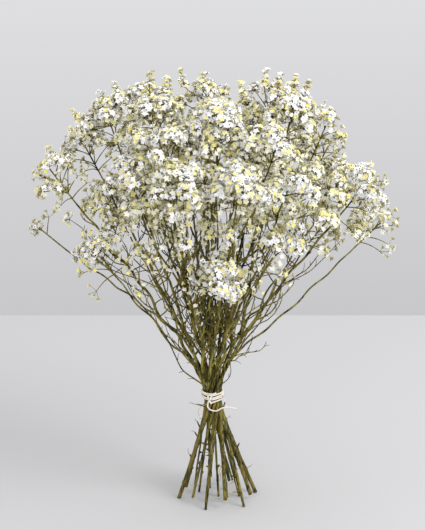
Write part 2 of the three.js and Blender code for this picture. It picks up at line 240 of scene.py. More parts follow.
def read_spray(node):
    """A spray's axis from its base to its tip, and the root, bend, mouth and facing of each floret's twig."""
    bm = merged(node)
    twigs, taken = [], set()
    for apex in bm.verts:
        rim = beside([apex])
        if len(rim) != 2 * LOBES or max(len(v.link_edges) for v in rim) > LOBES:
            continue
        neck = beside(rim) - {apex}
        window = beside(neck) - rim
        at_tip = len(window) == 3
        mouth = middle(rim)
        twig = {"root": middle(window), "bend": middle(neck), "mouth": mouth, "at_tip": at_tip}
        twigs.append(twig | {"facing": unit(mouth - middle([apex]))})
        taken |= rim | {apex} | (set() if at_tip else neck)
    ahead = Vector(next(twig["facing"] for twig in twigs if twig["at_tip"]))
    rings = sorted((v for v in bm.verts if v not in taken), key=lambda v: v.co.dot(ahead))
    axis = np.array([middle(rings[i : i + 3]) for i in range(0, len(rings), 3)])
    bm.free()
    return {"axis": axis, "twigs": twigs}


def level_loops(bm, height):
    """The middle of each loop in which a level plane cuts a mesh, in millimetres."""
    crossing = {}
    for edge in bm.edges:
        low, high = (v.co for v in edge.verts)
        if (low.z > height * MM) != (high.z > height * MM):
            crossing[edge] = low.lerp(high, (height * MM - low.z) / (high.z - low.z))
    loops = []
    while crossing:
        waiting, points = [next(iter(crossing))], []
        while waiting:
            edge = waiting.pop()
            if edge in crossing:
                points.append(crossing.pop(edge))
                waiting += [e for face in edge.link_faces for e in face.edges if e in crossing]
        loops.append(np.mean(points, axis=0) / MM)
    return loops


def traced_down(loops_at, end):
    """A line from a point down through the loops below it, each the nearest to where the line leads."""
    line = [end]
    for height in sorted((h for h in loops_at if h < end[2] - 2), reverse=True):
        guess = line[-1]
        if len(line) > 1:
            slope = (line[-1] - line[-2]) / (line[-1][2] - line[-2][2])
            guess = line[-1] + slope * (height - line[-1][2])
        line.append(min(loops_at[height], key=lambda loop: np.linalg.norm(loop - guess)))
    return np.array(line)


def read_stem(number, sprays):
    """The centre lines of a stalk, from its foot up, and of its side branch, from its fork up."""
    bm = merged(f"stem_{number:02}")
    bm.verts.ensure_lookup_table()
    lowest = min(v.co.z for v in bm.verts) / MM
    highest = max(v.co.z for v in bm.verts) / MM
    loops_at = {h: level_loops(bm, h) for h in np.arange(lowest + 3.3, highest - 1, 7.7)}
    foot = middle([v for v in bm.verts if v.co.z / MM < lowest + 0.5])
    bm.free()
    stalk = traced_down(loops_at, sprays[0]["axis"][0])
    limb = traced_down(loops_at, sprays[1]["axis"][0])
    apart = [p for p in limb if np.linalg.norm(stalk - p, axis=1).min() > 0.1]
    fork = limb[len(apart)]
    return np.array([*stalk, foot])[::-1], np.array([*apart, fork])[::-1]


def spray_nodes(number):
    """The names of a stem's two sprays in the solid model."""
    return [f"spray_{number:02}{letter}" for letter in "ab"]


@cache
def skeleton(number):
    """The lines of one stem and its two sprays, read from the solid model."""
    sprays = [read_spray(node) for node in spray_nodes(number)]
    stalk, limb = (resampled(line, LINE_SPACING) for line in read_stem(number, sprays))
    return {"stalk": smoothed(stalk, 10), "limb": smoothed(limb, 6), "sprays": sprays}


def main_lines(number):
    """The points of a stem's stalk and of its sprays' axes."""
    lines = skeleton(number)
    return np.concatenate([lines["stalk"], *(spray["axis"] for spray in lines["sprays"])])


@cache
def tie_axis():
    """Where the middle stalk passes through the tie."""
    bm = merged("stem_01")
    point = level_loops(bm, TIE_HEIGHT)[0]
    bm.free()
    return point * LEVEL


class Growth:
    """The rods, florets and bracts of one stem, gathered before they become meshes."""

    def __init__(self, number):
        self.rng = np.random.default_rng([SEED, number])
        self.rods = []
        self.florets = []
        self.bracts = []

    def rod(self, path, radii, sides, age):
        """Adds a rod along a path. Its radii are spread evenly along it, and it browns with age."""
        path = np.asarray(path, float)
        radii = np.interp(np.linspace(0, 1, len(path)), np.linspace(0, 1, len(radii)), radii)
        self.rods.append((path, radii, sides, age))

    def floret(self, foot, facing, size, yellow):
        """Adds a floret that is open, withered or bare, with its own size, turn, squash and tone."""
        rng = self.rng
        kind = rng.random()
        coloured = yellow + WITHERED_SHARE * (1 - yellow)
        state = "open" if kind < yellow else "withered" if kind < coloured else "bare"
        turn = rng.uniform(0, FULL_TURN)
        size *= rng.uniform(0.78, 1.15)
        squash = rng.uniform(0.8, 1)
        self.florets.append((foot, facing, size, turn, squash, rng.random(), state))


def sparse(point):
    """Whether a point is on the crown's underside or in a gap between its sprays, where few florets grow."""
    across, depth, height = point - tie_axis()
    height += DEPTH_LIFT * depth
    in_gap = any(math.hypot(across - x, height - z) < radius for x, z, radius in CLEARINGS)
    return in_gap or height < np.interp(across, UNDERSIDE_ACROSS, UNDERSIDE_HEIGHT)


def crown_depths(feet):
    """How far each floret lies inside the crown, in millimetres, behind the outermost of its direction."""
    out = feet - tie_axis() - DEPTH_HEIGHT * UP
    far = np.linalg.norm(out, axis=1)
    # directions within one cell, in radians, count as the same
    cell_size = 0.22
    turn = np.round(np.arctan2(out[:, 1], out[:, 0]) / cell_size)
    rise = np.round(np.arcsin(out[:, 2] / far) / cell_size)
    cells = turn * 100 + rise
    depths = np.zeros(len(feet))
    for cell in np.unique(cells):
        mine = cells == cell
        depths[mine] = np.percentile(far[mine], 92) - far[mine]
    return np.maximum(depths, 0)


def grow_cluster(growth, sizes, neck, facing, florets, small=True):
    """A tight cluster: florets on thin pedicels that part at a neck and end on a ragged dome."""
    rng = growth.rng
    first = rng.uniform(0, FULL_TURN)
    thin = sizes.pedicel_radius / MM
    reach = (0.8 if small else 1) * sizes.cluster_reach / MM
    age = rng.uniform(0, 0.6)
    outward = unit(neck - tie_axis() - FACING_HEIGHT * UP)
    ahead = unit(facing + 0.4 * outward)
    patch = leaning(ahead, rng.uniform(0, 0.9), rng.uniform(0, FULL_TURN))
    if sparse(neck):
        florets = 0 if small else florets // 4
    for k in range(florets):
        # they spread evenly over a cap
        lean = math.acos(1 - 1.1 * (k + 0.5) / florets)
        towards = leaning(ahead, lean, first + GOLDEN_ANGLE * k) + rng.normal(0, 0.2, 3)
        foot = neck + towards * reach * rng.uniform(0.6, 1.25)
        growth.rod([neck, foot], [1.2 * thin, 0.8 * thin], 3, age)
        # the open ones grow in twos and threes
        chance = (3 if unit(towards) @ patch > 0.88 else 0.4) * sizes.open_share
        growth.floret(foot, unit(towards + 0.35 * outward + rng.normal(0, 0.14, 3)), 1.0, chance)


def grow_spray(growth, sizes, spray):
    """A spray's axis and twigs, with a cluster at the end of each twig and smaller ones along it."""
    rng = growth.rng
    twig_radius = sizes.twig_radius / MM
    reach = sizes.cluster_reach / MM
    axis = smoothed(resampled(spray["axis"], LINE_SPACING), 3)
    growth.rod(axis, [sizes.neck_radius / MM, 0.75], 7, 0.1)
    for twig in spray["twigs"]:
        neck, facing = twig["bend"], twig["facing"]
        grow_cluster(growth, sizes, neck, facing, sizes.cluster_florets, small=False)
        # a twiglet above some clusters, with two florets
        if rng.random() < 0.4 and not sparse(neck):
            rise = unit(0.5 * facing + 0.7 * UP + rng.normal(0, 0.3, 3)) * (reach + rng.uniform(3, 10))
            twiglet = arched(neck, neck + rise, facing, 3)
            growth.rod(twiglet, [0.35, 0.25], 3, 0.2)
            for foot in twiglet[2:]:
                growth.floret(foot, unit(rise / 8 + rng.normal(0, 0.6, 3)), 0.9, sizes.open_share)
        if twig["at_tip"]:
            continue
        root = nearest(axis, twig["root"])
        straight = unit(neck - root)
        path = arched(root, neck, straight + 0.35 * UP, 5)
        growth.rod(path, [1.35 * twig_radius, 0.85 * twig_radius], 5, rng.uniform(0, 0.5))
        span = np.linalg.norm(neck - root)
        for side in (-1, 1):
            # four in five have a side twig, if they are long enough
            if span < 12 or rng.random() > 0.8 or sparse(neck):
                continue
            at = path[2 if side < 0 else 3 if span < 26 else 4]
            across = unit(np.cross(straight, UP)) * side
            leave = unit(0.6 * straight + 0.75 * across + 0.4 * UP + rng.normal(0, 0.15, 3))
            end = at + leave * rng.uniform(6, 11)
            growth.rod(arched(at, end, straight, 3), [twig_radius, 0.7 * twig_radius], 4, rng.uniform(0, 0.5))
            grow_cluster(growth, sizes, end, unit(leave + 0.7 * UP), sizes.small_cluster_florets)


def roughened(growth, line, amount, waves):
    """A line with gentle bends of its own, none at its ends."""
    rng = growth.rng
    t = np.linspace(0, 1, len(line))[:, None]
    fade = np.minimum(1, 8 * np.minimum(t, 1 - t))
    bends = sum(
        rng.normal(0, amount / k, 3) * np.sin(FULL_TURN * (waves * k * t + rng.random(3))) for k in (1, 2)
    )
    return line + fade * bends


def grow_tendril(growth, start, towards, reach):
    """A thin dry thread that curls as it goes."""
    rng = growth.rng
    steps = 12
    towards = unit(towards)
    first, second = square_to(towards)
    spin = rng.choice([-1, 1]) * rng.uniform(0.25, 0.6)
    points, heading = [start], rng.uniform(0, 0.5)
    for k in range(steps):
        heading += spin * (0.4 + k / 8)
        step = towards * (0.6 * math.cos(heading) + 0.5) + 0.7 * math.sin(heading) * first
        points.append(points[-1] + (step + 0.25 * math.cos(1.7 * k) * second) * reach / steps)
    growth.rod(points, [0.35, 0.15], 3, rng.uniform(0.5, 1))


def grow_stalk(growth, sizes, lines):
    """A stalk and its side branch, with swollen nodes, bracts and the stubs of broken twigs."""
    rng = growth.rng
    stalk, limb = lines["stalk"].copy(), lines["limb"]
    height = stalk[:, 2]
    stout = rng.choice([0.5, 0.62, 0.75, 0.9, 1.15])
    radii = [stout * sizes.foot_radius, sizes.waist_radius, 1.8 * sizes.neck_radius, sizes.neck_radius]
    heights = [TIE_HEIGHT - 60, TIE_HEIGHT, TIE_HEIGHT + 75, height[-1]]
    radii = np.interp(height, heights, np.array(radii) / MM)
    above = height > TIE_HEIGHT + 25
    stalk[above] = roughened(growth, stalk[above], 2.2, 2.5)
    below = height < TIE_HEIGHT - 15
    stalk[below] = roughened(growth, stalk[below], 0.3, 1)
    nodes = np.cumsum(rng.integers(4, 9, 30))
    for k in nodes[nodes < len(stalk) - 2]:
        if abs(height[k] - TIE_HEIGHT) < 12:
            continue
        radii[k] *= 1.22
        towards = unit(stalk[k + 1] - stalk[k])
        out = leaning(towards, math.pi / 2, rng.uniform(0, FULL_TURN))
        foot = stalk[k] + 0.7 * radii[k] * out
        growth.bracts.append((foot, unit(towards + 0.35 * out), rng.uniform(0.9, 1.8)))
        if height[k] < TIE_HEIGHT and rng.random() < 0.85:
            stub = stalk[k] + unit(0.9 * out + rng.uniform(0.2, 0.8) * towards) * rng.choice([3.5, 5, 8, 13])
            growth.rod(arched(stalk[k], stub, out + 0.5 * towards, 3), [1.2, 0.75], 5, rng.uniform(0, 0.8))
            if rng.random() < 0.5:
                grow_tendril(growth, stub, out + 0.3 * towards, rng.uniform(6, 20))
    growth.rod(stalk, radii, STALK_SIDES, rng.uniform(0, 0.3))
    # the pith shows at the cut
    cut = unit(stalk[0] - stalk[1])
    growth.rod([stalk[0] - cut, stalk[0] + 0.08 * cut], [0.8 * radii[0]] * 2, 8, STRAW_AGE)
    limb = roughened(growth, limb, 1.5, 2)
    growth.rod(limb, [1.25, 0.85], 7, 0.1)
    return stalk, limb


def grow_sprig(growth, sizes, start, along, out, reach, heads, flowering):
    """A slim side twig that forks. Flowering is the chance of a small cluster at a branchlet's end."""
    rng = growth.rng
    in_crown = flowering > 0.5
    leave = unit(0.5 * along + out)
    end = start + unit(along + 0.75 * out + 0.2 * UP) * reach
    if in_crown and sparse(end):
        return
    path = roughened(growth, arched(start, end, leave, 8), 0.8 if flowering else 2.2, 1)
    growth.rod(path, [0.8, 0.5], 5, rng.uniform(0, 0.5))
    for k in range(heads):
        at = 8 - 2 * k
        towards = unit(path[at] - path[at - 1])
        lean = leaning(unit(towards + 0.4 * UP), 0.3 + 0.15 * k, rng.uniform(0, FULL_TURN))
        tip = path[at] + lean * rng.uniform(7, 15)
        if in_crown and sparse(tip):
            continue
        growth.rod(arched(path[at], tip, towards, 3), [0.45, 0.33], 4, rng.uniform(0, 0.5))
        if rng.random() < flowering and not sparse(tip):
            grow_cluster(growth, sizes, tip, unit(lean + 0.5 * out), sizes.small_cluster_florets)


def grow_spike(growth, sizes, end):
    """Florets round the last points of a twig, fewer towards its tip."""
    rng = growth.rng
    thin = sizes.pedicel_radius / MM
    ahead = unit(end[-1] - end[0])
    for k, point in enumerate(end):
        for turn in range(4 if k < 3 else 3):
            lean = rng.uniform(0.5, 1.1) - 0.1 * k
            out = leaning(ahead, lean, GOLDEN_ANGLE * k + 1.7 * turn + rng.normal(0, 0.3))
            foot = point + out * rng.uniform(1, 4.5)
            growth.rod([point, foot], [thin, thin], 3, 0.3)
            growth.floret(foot, out, 0.95, 1.3 * sizes.open_share)


def grow_stray(growth, sizes, route, lines, heads):
    """A twig along a route from the nearest point of its stem, with stubs on its way and heads at its tip."""
    rng = growth.rng
    path = smoothed(resampled([nearest(lines, route[0]), *route[1:]], LINE_SPACING), 3)
    growth.rod(path, [0.4 + min(0.55, 0.02 * len(path)), 0.4], 6, rng.uniform(0, 0.5))
    for k in range(4, len(path) - 2, 4):
        towards = unit(path[k + 1] - path[k])
        tip = path[k] + leaning(towards, 0.7, rng.uniform(0, FULL_TURN)) * rng.uniform(3, 12)
        growth.rod(arched(path[k], tip, towards, 4), [0.5, 0.25], 4, rng.uniform(0, 1))
    ahead = unit(path[-1] - path[-3])
    if heads == 1:
        grow_spike(growth, sizes, path[-5:])
        return
    for k in range(heads):
        tip = path[-1] + leaning(ahead, min(1.2, 0.8 * k), GOLDEN_ANGLE * k) * (7 + 1.2 * heads)
        growth.rod(arched(path[-1], tip, ahead, 3), [0.45, 0.35], 4, 0.2)
        grow_cluster(growth, sizes, tip, unit(tip - path[-1] + 3 * UP), 11)


def carrier(point):
    """The number of the stem that passes closest to a point."""
    return min(STEMS, key=lambda number: np.linalg.norm(main_lines(number) - point, axis=1).min())


def carried(number, routes):
    """Those of some routes that start closest to one stem, as points."""
    placed = [np.array(route) + tie_axis() for route in routes]
    return [points for points in placed if carrier(points[0]) == number]


def level_way(rng, start, end, scatter):
    """A level direction from one point towards another, scattered by chance."""
    return unit((end - start + rng.normal(0, scatter, 3)) * LEVEL)


@cache
def grown_stem(number):
    """All that grows on one stem."""
    sizes = bpy.context.scene.statice_sizes
    lines = skeleton(number)
    growth = Growth(number)
    rng = growth.rng
    stalk, limb = grow_stalk(growth, sizes, lines)
    for spray in lines["sprays"]:
        grow_spray(growth, sizes, spray)
    # flowering sprigs up the crown, of which one in three fills its inside
    for line in (stalk, limb):
        for height in np.arange(CROWN_FOOT, line[-1][2] - 8, SPRIG_SPACING) + rng.uniform(-8, 8):
            k = np.argmax(line[:, 2] > height)
            along = unit(line[k] - line[k - 1])
            out = level_way(rng, tie_axis(), line[k], 18) * rng.choice([1, 1, -1])
            grow_sprig(growth, sizes, line[k], along, out, rng.uniform(15, 42), 3, 0.75)
    # low sprigs below it, nearly all bare
    for height in rng.uniform(150, 300, 3):
        k = np.argmax(stalk[:, 2] > height)
        along = unit(stalk[k + 1] - stalk[k])
        out = level_way(rng, tie_axis(), stalk[k], 6)
        grow_sprig(growth, sizes, stalk[k], along, out, rng.uniform(30, 70), 4, 0.12 if height > 230 else 0)
    # bare twigs that cross among the stalks
    for height in rng.uniform(160, 290, 7):
        k = np.argmax(stalk[:, 2] > height)
        inwards = level_way(rng, stalk[k], tie_axis(), 12)
        grow_sprig(growth, sizes, stalk[k], UP, 0.7 * inwards, rng.uniform(35, 75), 2, 0)
    for routes, heads in ((FLOWERING_STRAYS, 3), (BROAD_STRAYS, 7), (PEAK_STRAYS, 1), (BARE_STRAYS, 0)):
        for route in carried(number, routes):
            grow_stray(growth, sizes, route, main_lines(number), heads)
    for route in carried(number, CURLS):
        curl = [nearest(stalk, route[0]), *route[1:]]
        growth.rod(smoothed(resampled(curl, 1.5), 2), [0.6, 0.35], 4, STRAW_AGE)
    return growth


def frames(paths):
    """Two directions square to each of some paths at each of its points, with as little twist as can be."""
    ahead = unit(np.gradient(paths, axis=1))
    side = square_to(ahead[:, 0])[0]
    sides, others = [], []
    for tangent in ahead.swapaxes(0, 1):
        side = unit(side - (side * tangent).sum(axis=1, keepdims=True) * tangent)
        sides.append(side)
        others.append(np.cross(tangent, side))
    return np.stack(sides, axis=1), np.stack(others, axis=1)


def swept(rods):
    """Closed rods along paths: all vertices, triangles and ages. Rods of like count are swept together."""
    alike = {}
    for path, radii, sides, age in rods:
        alike.setdefault((len(path), sides), []).append((path, radii, age))
    all_points, all_faces, all_ages = [], [], []
    offset = 0
    for (steps, sides), group in alike.items():
        paths, radii, ages = (np.array(values) for values in zip(*group))
        side, other = frames(paths)
        angles = (FULL_TURN * np.arange(sides) / sides)[:, None]
        ribs = np.ones(sides)
        if sides == STALK_SIDES:
            ribs += RIB_HEIGHT * np.cos(math.pi * np.arange(sides))
        rings = np.cos(angles) * side[:, :, None] + np.sin(angles) * other[:, :, None]
        points = paths[:, :, None] + (radii[..., None] * ribs)[..., None] * rings
        per_rod = steps * sides
        here = np.arange(sides)
        after = (here + 1) % sides
        fan = np.stack([np.zeros(sides - 2, int), here[1:-1], here[2:]], axis=1)
        lower = np.stack([here, after, after + sides], axis=1)
        upper = np.stack([here, after + sides, here + sides], axis=1)
        walls = np.concatenate([lower, upper]) + sides * np.arange(steps - 1)[:, None, None]
        faces = np.concatenate([fan[:, ::-1], fan + per_rod - sides, walls.reshape(-1, 3)])
        starts = offset + per_rod * np.arange(len(group))
        all_faces.append((faces + starts[:, None, None]).reshape(-1, 3))
        all_points.append(points.reshape(-1, 3))
        all_ages.append(np.repeat(ages, per_rod))
        offset += per_rod * len(group)
    return np.concatenate(all_points), np.concatenate(all_faces), np.concatenate(all_ages)


def open_shape(vertices, foot, top, height):
    """Starts a small shape from a cone on the origin, in edit mode."""
    bpy.ops.object.select_all(action="DESELECT")
    bpy.ops.mesh.primitive_cone_add(
        vertices=vertices, radius1=foot, radius2=top, depth=height, location=(0, 0, height / 2)
    )
    bpy.ops.object.transform_apply(location=True)
    bpy.ops.object.mode_set(mode="EDIT")


def choose(kind, test):
    """Selects what passes a test, of one kind, in the mesh in edit mode: VERT, EDGE or FACE."""
    bpy.ops.mesh.select_mode(type=kind)
    bpy.ops.mesh.select_all(action="DESELECT")
    bm = bmesh.from_edit_mesh(bpy.context.object.data)
    for element in {"VERT": bm.verts, "EDGE": bm.edges, "FACE": bm.faces}[kind]:
        if test(element):
            element.select_set(True)
    bm.select_flush_mode()
    bmesh.update_edit_mesh(bpy.context.object.data)


def choose_top():
    """Selects a small shape's top face."""
    choose("FACE", lambda face: face.normal.z > 0.9)


def scaled(factor, height):
    """Scales what is selected across, about the axis."""
    bpy.ops.transform.resize(value=(factor, factor, 1), center_override=(0, 0, height))


def poke_top(radius, height, rise):
    """Gives a small shape's top a middle point, and moves that up or down."""
    choose_top()
    bpy.ops.mesh.poke()
    choose("VERT", lambda v: v.co.z > 0.8 * height and v.co.xy.length < 0.1 * radius)
    bpy.ops.transform.translate(value=(0, 0, rise))


def shut_foot(height):
    """Draws a small shape's foot to a point."""
    choose("VERT", lambda v: v.co.z < 0.1 * height)
    bpy.ops.mesh.merge(type="CENTER")


def closed_shape():
    """Ends a small shape: its vertices and triangles in millimetres. The object is removed."""
    bpy.ops.object.mode_set(mode="OBJECT")
    shape = bpy.context.object
    shape.data.calc_loop_triangles()
    points = np.array([v.co for v in shape.data.vertices]) / MM
    faces = np.array([t.vertices for t in shape.data.loop_triangles])
    bpy.data.objects.remove(shape)
    return points, faces


def closed_cup(radius, height, sink):
    """Ends a cup: its foot drawn to a point, five lobes cut into its rim, its middle sunk."""
    shut_foot(height)
    choose("EDGE", lambda edge: all(v.co.z > 0.9 * height for v in edge.verts))
    bpy.ops.mesh.subdivide(number_cuts=1)
    choose("VERT", lambda v: v.co.z > 0.9 * height and v.co.xy.length < 0.95 * radius)
    scaled(0.72, height)
    bpy.ops.transform.translate(value=(0, 0, -0.04 * height))
    poke_top(radius, height, -sink * height)
    return closed_shape()


def model_calyx(sizes):
    """A papery funnel: a tube to its throat, then five lobes that flare."""
    radius, height = sizes.calyx_radius, sizes.calyx_height
    throat = 0.34 * radius
    open_shape(LOBES, 0.1 * radius, throat, 0.55 * height)
    choose_top()
    bpy.ops.mesh.extrude_region_move(TRANSFORM_OT_translate={"value": (0, 0, 0.45 * height)})
    scaled(radius / throat, height)
    return closed_cup(radius, height, 0.16)


def model_corolla(sizes):
    """A small open corolla of five petals."""
    radius = sizes.corolla_radius
    height = 0.5 * radius
    open_shape(LOBES, 0.1 * radius, radius, height)
    return closed_cup(radius, height, 0.5)


def model_centre(sizes):
    """A withered corolla: a small crumpled cone that is shut at its tip."""
    radius = 0.27 * sizes.corolla_radius
    height = 1.6 * radius
    open_shape(4, 0.8 * radius, radius, height)
    poke_top(radius, height, 1.4 * radius)
    shut_foot(height)
    return closed_shape()


def model_bract():
    """A small scale that hugs a stalk at a node."""
    open_shape(5, 0.75 * MM, 1.0 * MM, 1.0 * MM)
    choose_top()
    bpy.ops.mesh.extrude_region_move(TRANSFORM_OT_translate={"value": (0, 0, 1.8 * MM)})
    scaled(0.2, 2.8 * MM)
    return closed_shape()


def stamped(shape, feet, facings, size, turns, squash):
    """Copies of a small shape, each at its foot along its facing: vertices and triangles."""
    points, faces = shape
    facings = unit(facings)
    first, second = square_to(facings)
    cos, sin = np.cos(turns)[:, None], np.sin(turns)[:, None]
    across, other = cos * first + sin * second, cos * second - sin * first
    basis = np.stack([across * squash[:, None], other, facings], axis=1) * size[:, None, None]
    placed = feet[:, None] + points @ basis
    starts = len(points) * np.arange(len(feet))
    return placed.reshape(-1, 3), (faces + starts[:, None, None]).reshape(-1, 3)


def add_piece(name, points, faces, attributes, material, replaced, smooth=False):
    """Makes a mesh of points in millimetres into a piece that rides on the bunch."""
    mesh = bpy.data.meshes.new(name)
    mesh.from_pydata((np.asarray(points) * MM).tolist(), [], faces.tolist())
    for key, values in attributes.items():
        mesh.attributes.new(key, "FLOAT", "POINT").data.foreach_set("value", np.asarray(values, np.float32))
    mesh.materials.append(material)
    mesh.polygons.foreach_set("use_smooth", np.full(len(faces), smooth))
    mesh.update()
    piece = bpy.data.objects.new(name, mesh)
    bpy.context.scene.collection.objects.link(piece)
    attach(piece, "root")
    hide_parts(*replaced)
    return piece


def fill(tree, node, inputs):
    """Puts values or links on a node's inputs."""
    for name, value in inputs.items():
        if isinstance(value, bpy.types.NodeSocket):
            tree.links.new(value, node.inputs[name])
        else:
            node.inputs[name].default_value = value


# A Map Range node has its ranges on inputs 1 to 4. A Mix node has its colours on 6 and 7, and gives one on 2
def add(tree, kind, inputs, out=0, **settings):
    """Adds a node with its settings, and values or links on its inputs. It gives one of its outputs."""
    made = tree.nodes.new("ShaderNode" + kind)
    for name, value in settings.items():
        setattr(made, name, value)
    fill(tree, made, inputs)
    return made.outputs[out]


def new_material(name):
    """A new material, its node tree and its shader."""
    material = bpy.data.materials.new(name)
    material.use_nodes = True
    tree = material.node_tree
    return material, tree, tree.nodes["Principled BSDF"]


@cache
def dried_stalk_bark():
    """Dried herbaceous stem: dull olive skin, paler along its ribs, with dead brown patches and bracts."""
    colours = bpy.context.scene.statice_colours
    material, tree, shader = new_material("dried statice stalk, ribbed bark")
    place = add(tree, "TexCoord", {}, "Object")
    # streaks run up the stalk: 1.5 mm across and 60 mm long
    stretch = (1 / (1.5 * MM), 1 / (1.5 * MM), 1 / (60 * MM))
    stretched = add(tree, "Mapping", {"Vector": place, "Scale": stretch})
    streaks = add(tree, "TexNoise", {"Vector": stretched, "Scale": 1.0, "Detail": 3.0}, "Fac")
    # patches are 18 mm across
    patches = add(tree, "TexNoise", {"Vector": place, "Scale": 1 / (18 * MM), "Detail": 2.0}, "Fac")
    mottled = add(tree, "Math", {0: streaks, 1: patches}, operation="ADD")
    ribs = add(tree, "MapRange", {0: mottled, 1: 0.82, 2: 1.2})
    green = add(tree, "Mix", {0: ribs, 6: colours.stalk, 7: colours.stalk_light}, 2, data_type="RGBA")
    # it darkens towards the foot
    rise = add(tree, "SeparateXYZ", {"Vector": place}, "Z")
    foot = add(tree, "MapRange", {0: rise, 1: 160 * MM, 2: 90 * MM, 3: 0.0, 4: 0.35})
    green = add(tree, "Mix", {0: foot, 6: green, 7: colours.stalk}, 2, data_type="RGBA")
    # patches brown with age
    age = add(tree, "Attribute", {}, "Fac", attribute_name="age")
    aged = add(tree, "Math", {0: patches, 1: age}, operation="ADD")
    brown = add(tree, "MapRange", {0: aged, 1: 0.72, 2: 1.4})
    skin = add(tree, "Mix", {0: brown, 6: green, 7: colours.stalk_brown}, 2, data_type="RGBA")
    straw = add(tree, "Math", {0: age, 1: STRAW_AGE / 2}, operation="LESS_THAN")
    skin = add(tree, "Mix", {0: straw, 6: skin, 7: colours.pith}, 2, data_type="RGBA")
    bump = add(tree, "Bump", {"Height": streaks, "Strength": 0.35, "Distance": 0.3 * MM})
    fill(tree, shader, {"Base Color": skin, "Normal": bump, "Roughness": 0.65, "Specular IOR Level": 0.2})
    return material


@cache
def papery_calyx():
    """Dry membrane: white, with a creamy tint that is painted shade deep in the crown and a random tone of
    its own on some others, olive in the tube.
    """
    colours = bpy.context.scene.statice_colours
    material, tree, shader = new_material("papery calyx, dry membrane")
    # the creamy tint, painted shade where it grows with depth in the crown
    cream_and_shade = add(tree, "Attribute", {}, "Fac", attribute_name="cream_and_shade")
    rim = add(tree, "Mix", {0: cream_and_shade, 6: colours.calyx, 7: colours.calyx_cream_and_shade}, 2, data_type="RGBA")
    lift = add(tree, "Attribute", {}, "Fac", attribute_name="lift")
    open_end = add(tree, "MapRange", {0: lift, 1: 0.5, 2: 0.92})
    skin = add(tree, "Mix", {0: open_end, 6: colours.calyx_foot, 7: rim}, 2, data_type="RGBA")
    fill(tree, shader, {"Base Color": skin, "Roughness": 0.8})
    return material


@cache
def lemon_corolla():
    """Dried petal: soft lemon, golden where it is older, brown where it has withered."""
    colours = bpy.context.scene.statice_colours
    material, tree, shader = new_material("lemon corolla, dried petal")
    tone = add(tree, "Attribute", {}, "Fac", attribute_name="tone")
    gold = add(tree, "MapRange", {0: tone, 1: 0.8, 2: 1.15})
    petal = add(tree, "Mix", {0: gold, 6: colours.corolla, 7: colours.corolla_gold}, 2, data_type="RGBA")
    withered = add(tree, "Attribute", {}, "Fac", attribute_name="withered")
    skin = add(tree, "Mix", {0: withered, 6: petal, 7: colours.centre}, 2, data_type="RGBA")
    fill(tree, shader, {"Base Color": skin, "Roughness": 0.75})
    return material


@cache
def cotton_twine():
    """Spun cotton: matte off-white, a little darker between its fibres, where shade is painted."""
    colours = bpy.context.scene.statice_colours
    material, tree, shader = new_material("cotton twine, spun")
    place = add(tree, "TexCoord", {}, "Object")
    # single fibres are too fine to show, so they are drawn as bundles of 0.5 mm
    fibres = add(tree, "TexNoise", {"Vector": place, "Scale": 1 / (0.5 * MM), "Detail": 2.0}, "Fac")
    shown = add(tree, "MapRange", {0: fibres, 1: 0.35, 2: 0.65})
    # painted shade: the darker tone between the fibre bundles
    shade = (*(0.6 * channel for channel in colours.twine[:3]), 1.0)
    skin = add(tree, "Mix", {0: shown, 6: shade, 7: colours.twine}, 2, data_type="RGBA")
    bump = add(tree, "Bump", {"Height": fibres, "Strength": 0.4, "Distance": 0.2 * MM})
    fill(tree, shader, {"Base Color": skin, "Normal": bump, "Roughness": 0.95})
    return material


def joined(first, second):
    """Two sets of vertices and triangles as one."""
    return np.concatenate([first[0], second[0]]), np.concatenate([first[1], second[1] + len(first[0])])


def twisted(path, radius):
    """Three plies twisted round a path, as rods."""
    line = resampled(path, TWINE_SPACING)
    side, other = (directions[0] for directions in frames(line[None]))
    walked = np.arange(len(line)) * np.linalg.norm(line[1] - line[0])
    rods = []
    for ply in range(3):
        angle = FULL_TURN * (walked / TWINE_LAY + ply / 3)[:, None]
        strand = line + 0.5 * radius * (np.cos(angle) * side + np.sin(angle) * other)
        rods.append((strand, np.full(len(line), 0.52 * radius), 6, 0.0))
    return rods


def round_tie(out, turn, height):
    """Points round the tie's axis, by their distance from it, angle in radians and height."""
    return tie_axis() + np.stack([out * np.cos(turn), out * np.sin(turn), height], axis=1)


# The loose end's route, as in the solid model: from the knot down, to the right and out in front
LOOSE_END_ROUTE = [
    (-0.0051, -0.0133, 0.1192),
    (-0.0057, -0.0150, 0.1173),
    (-0.0052, -0.0166, 0.1155),
    (-0.0036, -0.0180, 0.1140),
    (-0.0013, -0.0190, 0.1130),
    (0.0014, -0.0197, 0.1125),
    (0.0042, -0.0201, 0.1126),
    (0.0068, -0.0203, 0.1136),
    (0.0092, -0.0204, 0.1152),
    (0.0118, -0.0204, 0.1165),
    (0.0145, -0.0203, 0.1172),
    (0.0172, -0.0202, 0.1174),
    (0.0199, -0.0201, 0.1171),
    (0.0225, -0.0200, 0.1165),
    (0.0250, -0.0198, 0.1158),
    (0.0274, -0.0195, 0.1151),
]

